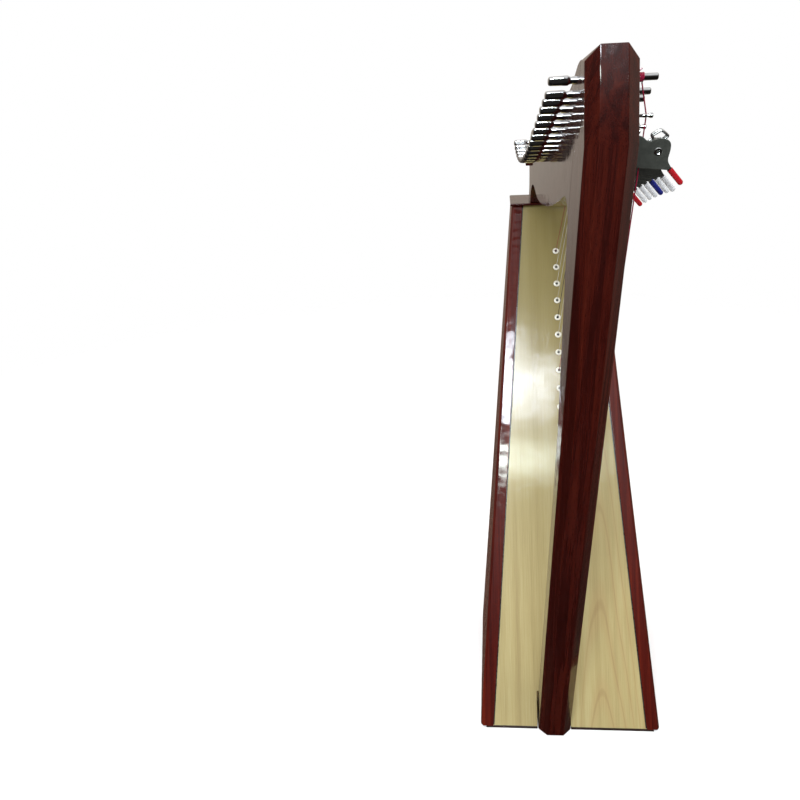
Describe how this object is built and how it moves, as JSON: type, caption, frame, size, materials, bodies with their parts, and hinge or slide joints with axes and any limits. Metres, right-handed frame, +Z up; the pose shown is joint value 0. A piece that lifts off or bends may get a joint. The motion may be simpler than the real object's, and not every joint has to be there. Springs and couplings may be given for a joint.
{
  "type": "celtic harp",
  "caption": "Small floor-standing celtic lever harp: leaning soundbox, bevelled pillar, curved neck, strings, tuning pins and colour-coded sharping levers.",
  "frame": {"origin": "on the underside of the pillar's foot, under the middle of the soundboard's lower front edge", "axes": "+Z up; +Y from the pillar towards the player's end; +X towards the side with the strings and levers"},
  "size_m": [0.2548, 0.6319, 0.8956],
  "materials": {
    "mahogany": "dark red-brown mahogany, high gloss lacquer",
    "maple": "pale yellow maple, satin to gloss lacquer",
    "back_wood": "mahogany plywood, satin",
    "dark_wood": "dark stained, satin",
    "spruce": "raw spruce",
    "eyelet_white": "white plastic",
    "chrome": "polished",
    "steel": "plated",
    "lever_metal": "dark grey satin coat",
    "string_clear": "clear nylon",
    "sleeve_red": "red plastic sleeve",
    "sleeve_blue": "dark blue plastic sleeve",
    "sleeve_white": "white plastic sleeve"
  },
  "bodies": {
    "harp_frame": {"soundboard": "maple", "left_rim": "mahogany", "right_rim": "mahogany", "left_side_panel": "mahogany", "right_side_panel": "mahogany", "back_panel": "back_wood", "base_board": "dark_wood", "top_cap": "mahogany", "inner_braces": "spruce", "pillar": "mahogany", "neck": "mahogany", "string_eyelets": "eyelet_white", "bridge_pins": "chrome", "strings": "string_clear", "lever_brackets": "lever_metal", "lever_screws": "steel"},
    "lever_01": {"lever_01": "sleeve_red"},
    "lever_02": {"lever_02": "sleeve_white"},
    "lever_03": {"lever_03": "sleeve_white"},
    "lever_04": {"lever_04": "sleeve_blue"},
    "lever_05": {"lever_05": "sleeve_white"},
    "lever_06": {"lever_06": "sleeve_white"},
    "lever_07": {"lever_07": "sleeve_white"},
    "lever_08": {"lever_08": "sleeve_red"},
    "lever_09": {"lever_09": "sleeve_white"},
    "lever_10": {"lever_10": "sleeve_white"},
    "lever_11": {"lever_11": "sleeve_blue"},
    "lever_12": {"lever_12": "sleeve_white"},
    "lever_13": {"lever_13": "sleeve_white"},
    "lever_14": {"lever_14": "sleeve_white"},
    "lever_15": {"lever_15": "sleeve_red"},
    "lever_16": {"lever_16": "sleeve_white"},
    "lever_17": {"lever_17": "sleeve_white"},
    "lever_18": {"lever_18": "sleeve_blue"},
    "lever_19": {"lever_19": "sleeve_white"},
    "lever_20": {"lever_20": "sleeve_white"},
    "lever_21": {"lever_21": "sleeve_white"},
    "lever_22": {"lever_22": "sleeve_red"},
    "tuning_pin_01": {"tuning_pin_01": "chrome"},
    "tuning_pin_02": {"tuning_pin_02": "chrome"},
    "tuning_pin_03": {"tuning_pin_03": "chrome"},
    "tuning_pin_04": {"tuning_pin_04": "chrome"},
    "tuning_pin_05": {"tuning_pin_05": "chrome"},
    "tuning_pin_06": {"tuning_pin_06": "chrome"},
    "tuning_pin_07": {"tuning_pin_07": "chrome"},
    "tuning_pin_08": {"tuning_pin_08": "chrome"},
    "tuning_pin_09": {"tuning_pin_09": "chrome"},
    "tuning_pin_10": {"tuning_pin_10": "chrome"},
    "tuning_pin_11": {"tuning_pin_11": "chrome"},
    "tuning_pin_12": {"tuning_pin_12": "chrome"},
    "tuning_pin_13": {"tuning_pin_13": "chrome"},
    "tuning_pin_14": {"tuning_pin_14": "chrome"},
    "tuning_pin_15": {"tuning_pin_15": "chrome"},
    "tuning_pin_16": {"tuning_pin_16": "chrome"},
    "tuning_pin_17": {"tuning_pin_17": "chrome"},
    "tuning_pin_18": {"tuning_pin_18": "chrome"},
    "tuning_pin_19": {"tuning_pin_19": "chrome"},
    "tuning_pin_20": {"tuning_pin_20": "chrome"},
    "tuning_pin_21": {"tuning_pin_21": "chrome"},
    "tuning_pin_22": {"tuning_pin_22": "chrome"}
  },
  "joints": [
    {"name": "lever_01_flip", "type": "hinge", "parent": "harp_frame", "child": "lever_01", "pos_m": [0.0332, -0.05582, 0.80487], "axis": [0, -0.989, -0.1478], "range_deg": [0, 85]},
    {"name": "lever_02_flip", "type": "hinge", "parent": "harp_frame", "child": "lever_02", "pos_m": [0.0332, -0.03322, 0.79511], "axis": [0, -0.989, -0.1478], "range_deg": [0, 85]},
    {"name": "lever_03_flip", "type": "hinge", "parent": "harp_frame", "child": "lever_03", "pos_m": [0.0332, -0.01154, 0.79022], "axis": [0, -0.989, -0.1478], "range_deg": [0, 85]},
    {"name": "lever_04_flip", "type": "hinge", "parent": "harp_frame", "child": "lever_04", "pos_m": [0.0332, 0.01003, 0.78468], "axis": [0, -0.989, -0.1478], "range_deg": [0, 85]},
    {"name": "lever_05_flip", "type": "hinge", "parent": "harp_frame", "child": "lever_05", "pos_m": [0.0332, 0.03147, 0.77868], "axis": [0, -0.989, -0.1478], "range_deg": [0, 85]},
    {"name": "lever_06_flip", "type": "hinge", "parent": "harp_frame", "child": "lever_06", "pos_m": [0.0332, 0.05275, 0.77241], "axis": [0, -0.989, -0.1478], "range_deg": [0, 85]},
    {"name": "lever_07_flip", "type": "hinge", "parent": "harp_frame", "child": "lever_07", "pos_m": [0.0332, 0.07391, 0.7656], "axis": [0, -0.989, -0.1478], "range_deg": [0, 85]},
    {"name": "lever_08_flip", "type": "hinge", "parent": "harp_frame", "child": "lever_08", "pos_m": [0.0332, 0.095, 0.75794], "axis": [0, -0.989, -0.1478], "range_deg": [0, 85]},
    {"name": "lever_09_flip", "type": "hinge", "parent": "harp_frame", "child": "lever_09", "pos_m": [0.0318, 0.11537, 0.75371], "axis": [0, -0.989, -0.1478], "range_deg": [0, 85]},
    {"name": "lever_10_flip", "type": "hinge", "parent": "harp_frame", "child": "lever_10", "pos_m": [0.0318, 0.13593, 0.74692], "axis": [0, -0.989, -0.1478], "range_deg": [0, 85]},
    {"name": "lever_11_flip", "type": "hinge", "parent": "harp_frame", "child": "lever_11", "pos_m": [0.0318, 0.15623, 0.74047], "axis": [0, -0.989, -0.1478], "range_deg": [0, 85]},
    {"name": "lever_12_flip", "type": "hinge", "parent": "harp_frame", "child": "lever_12", "pos_m": [0.0318, 0.17624, 0.7347], "axis": [0, -0.989, -0.1478], "range_deg": [0, 85]},
    {"name": "lever_13_flip", "type": "hinge", "parent": "harp_frame", "child": "lever_13", "pos_m": [0.0318, 0.19593, 0.7297], "axis": [0, -0.989, -0.1478], "range_deg": [0, 85]},
    {"name": "lever_14_flip", "type": "hinge", "parent": "harp_frame", "child": "lever_14", "pos_m": [0.0318, 0.21528, 0.72559], "axis": [0, -0.989, -0.1478], "range_deg": [0, 85]},
    {"name": "lever_15_flip", "type": "hinge", "parent": "harp_frame", "child": "lever_15", "pos_m": [0.0318, 0.2343, 0.72243], "axis": [0, -0.989, -0.1478], "range_deg": [0, 85]},
    {"name": "lever_16_flip", "type": "hinge", "parent": "harp_frame", "child": "lever_16", "pos_m": [0.0288, 0.25245, 0.72368], "axis": [0, -0.989, -0.1478], "range_deg": [0, 85]},
    {"name": "lever_17_flip", "type": "hinge", "parent": "harp_frame", "child": "lever_17", "pos_m": [0.0288, 0.27075, 0.72262], "axis": [0, -0.989, -0.1478], "range_deg": [0, 85]},
    {"name": "lever_18_flip", "type": "hinge", "parent": "harp_frame", "child": "lever_18", "pos_m": [0.0288, 0.28868, 0.72268], "axis": [0, -0.989, -0.1478], "range_deg": [0, 85]},
    {"name": "lever_19_flip", "type": "hinge", "parent": "harp_frame", "child": "lever_19", "pos_m": [0.0288, 0.30624, 0.72388], "axis": [0, -0.989, -0.1478], "range_deg": [0, 85]},
    {"name": "lever_20_flip", "type": "hinge", "parent": "harp_frame", "child": "lever_20", "pos_m": [0.0288, 0.32343, 0.72624], "axis": [0, -0.989, -0.1478], "range_deg": [0, 85]},
    {"name": "lever_21_flip", "type": "hinge", "parent": "harp_frame", "child": "lever_21", "pos_m": [0.0288, 0.34024, 0.72976], "axis": [0, -0.989, -0.1478], "range_deg": [0, 85]},
    {"name": "lever_22_flip", "type": "hinge", "parent": "harp_frame", "child": "lever_22", "pos_m": [0.0288, 0.35668, 0.73445], "axis": [0, -0.989, -0.1478], "range_deg": [0, 85]},
    {"name": "tuning_pin_01_turn", "type": "hinge", "parent": "harp_frame", "child": "tuning_pin_01", "pos_m": [-0.02, -0.06917, 0.86765], "axis": [1, 0, 0], "range_deg": [-360, 360]},
    {"name": "tuning_pin_02_turn", "type": "hinge", "parent": "harp_frame", "child": "tuning_pin_02", "pos_m": [-0.02, -0.04612, 0.85502], "axis": [1, 0, 0], "range_deg": [-360, 360]},
    {"name": "tuning_pin_03_turn", "type": "hinge", "parent": "harp_frame", "child": "tuning_pin_03", "pos_m": [-0.02, -0.02407, 0.84767], "axis": [1, 0, 0], "range_deg": [-360, 360]},
    {"name": "tuning_pin_04_turn", "type": "hinge", "parent": "harp_frame", "child": "tuning_pin_04", "pos_m": [-0.02, -0.00213, 0.83977], "axis": [1, 0, 0], "range_deg": [-360, 360]},
    {"name": "tuning_pin_05_turn", "type": "hinge", "parent": "harp_frame", "child": "tuning_pin_05", "pos_m": [-0.02, 0.01966, 0.83154], "axis": [1, 0, 0], "range_deg": [-360, 360]},
    {"name": "tuning_pin_06_turn", "type": "hinge", "parent": "harp_frame", "child": "tuning_pin_06", "pos_m": [-0.02, 0.04127, 0.82313], "axis": [1, 0, 0], "range_deg": [-360, 360]},
    {"name": "tuning_pin_07_turn", "type": "hinge", "parent": "harp_frame", "child": "tuning_pin_07", "pos_m": [-0.02, 0.06268, 0.81475], "axis": [1, 0, 0], "range_deg": [-360, 360]},
    {"name": "tuning_pin_08_turn", "type": "hinge", "parent": "harp_frame", "child": "tuning_pin_08", "pos_m": [-0.02, 0.08386, 0.80655], "axis": [1, 0, 0], "range_deg": [-360, 360]},
    {"name": "tuning_pin_09_turn", "type": "hinge", "parent": "harp_frame", "child": "tuning_pin_09", "pos_m": [-0.02, 0.10479, 0.79869], "axis": [1, 0, 0], "range_deg": [-360, 360]},
    {"name": "tuning_pin_10_turn", "type": "hinge", "parent": "harp_frame", "child": "tuning_pin_10", "pos_m": [-0.02, 0.12545, 0.79132], "axis": [1, 0, 0], "range_deg": [-360, 360]},
    {"name": "tuning_pin_11_turn", "type": "hinge", "parent": "harp_frame", "child": "tuning_pin_11", "pos_m": [-0.02, 0.14582, 0.78456], "axis": [1, 0, 0], "range_deg": [-360, 360]},
    {"name": "tuning_pin_12_turn", "type": "hinge", "parent": "harp_frame", "child": "tuning_pin_12", "pos_m": [-0.02, 0.16587, 0.77853], "axis": [1, 0, 0], "range_deg": [-360, 360]},
    {"name": "tuning_pin_13_turn", "type": "hinge", "parent": "harp_frame", "child": "tuning_pin_13", "pos_m": [-0.02, 0.1856, 0.77334], "axis": [1, 0, 0], "range_deg": [-360, 360]},
    {"name": "tuning_pin_14_turn", "type": "hinge", "parent": "harp_frame", "child": "tuning_pin_14", "pos_m": [-0.02, 0.20499, 0.76908], "axis": [1, 0, 0], "range_deg": [-360, 360]},
    {"name": "tuning_pin_15_turn", "type": "hinge", "parent": "harp_frame", "child": "tuning_pin_15", "pos_m": [-0.02, 0.22404, 0.76581], "axis": [1, 0, 0], "range_deg": [-360, 360]},
    {"name": "tuning_pin_16_turn", "type": "hinge", "parent": "harp_frame", "child": "tuning_pin_16", "pos_m": [-0.02, 0.24272, 0.76359], "axis": [1, 0, 0], "range_deg": [-360, 360]},
    {"name": "tuning_pin_17_turn", "type": "hinge", "parent": "harp_frame", "child": "tuning_pin_17", "pos_m": [-0.02, 0.26104, 0.76248], "axis": [1, 0, 0], "range_deg": [-360, 360]},
    {"name": "tuning_pin_18_turn", "type": "hinge", "parent": "harp_frame", "child": "tuning_pin_18", "pos_m": [-0.02, 0.27899, 0.7625], "axis": [1, 0, 0], "range_deg": [-360, 360]},
    {"name": "tuning_pin_19_turn", "type": "hinge", "parent": "harp_frame", "child": "tuning_pin_19", "pos_m": [-0.02, 0.29657, 0.76368], "axis": [1, 0, 0], "range_deg": [-360, 360]},
    {"name": "tuning_pin_20_turn", "type": "hinge", "parent": "harp_frame", "child": "tuning_pin_20", "pos_m": [-0.02, 0.31377, 0.76603], "axis": [1, 0, 0], "range_deg": [-360, 360]},
    {"name": "tuning_pin_21_turn", "type": "hinge", "parent": "harp_frame", "child": "tuning_pin_21", "pos_m": [-0.02, 0.3306, 0.76955], "axis": [1, 0, 0], "range_deg": [-360, 360]},
    {"name": "tuning_pin_22_turn", "type": "hinge", "parent": "harp_frame", "child": "tuning_pin_22", "pos_m": [-0.02, 0.34705, 0.77424], "axis": [1, 0, 0], "range_deg": [-360, 360]}
  ]
}
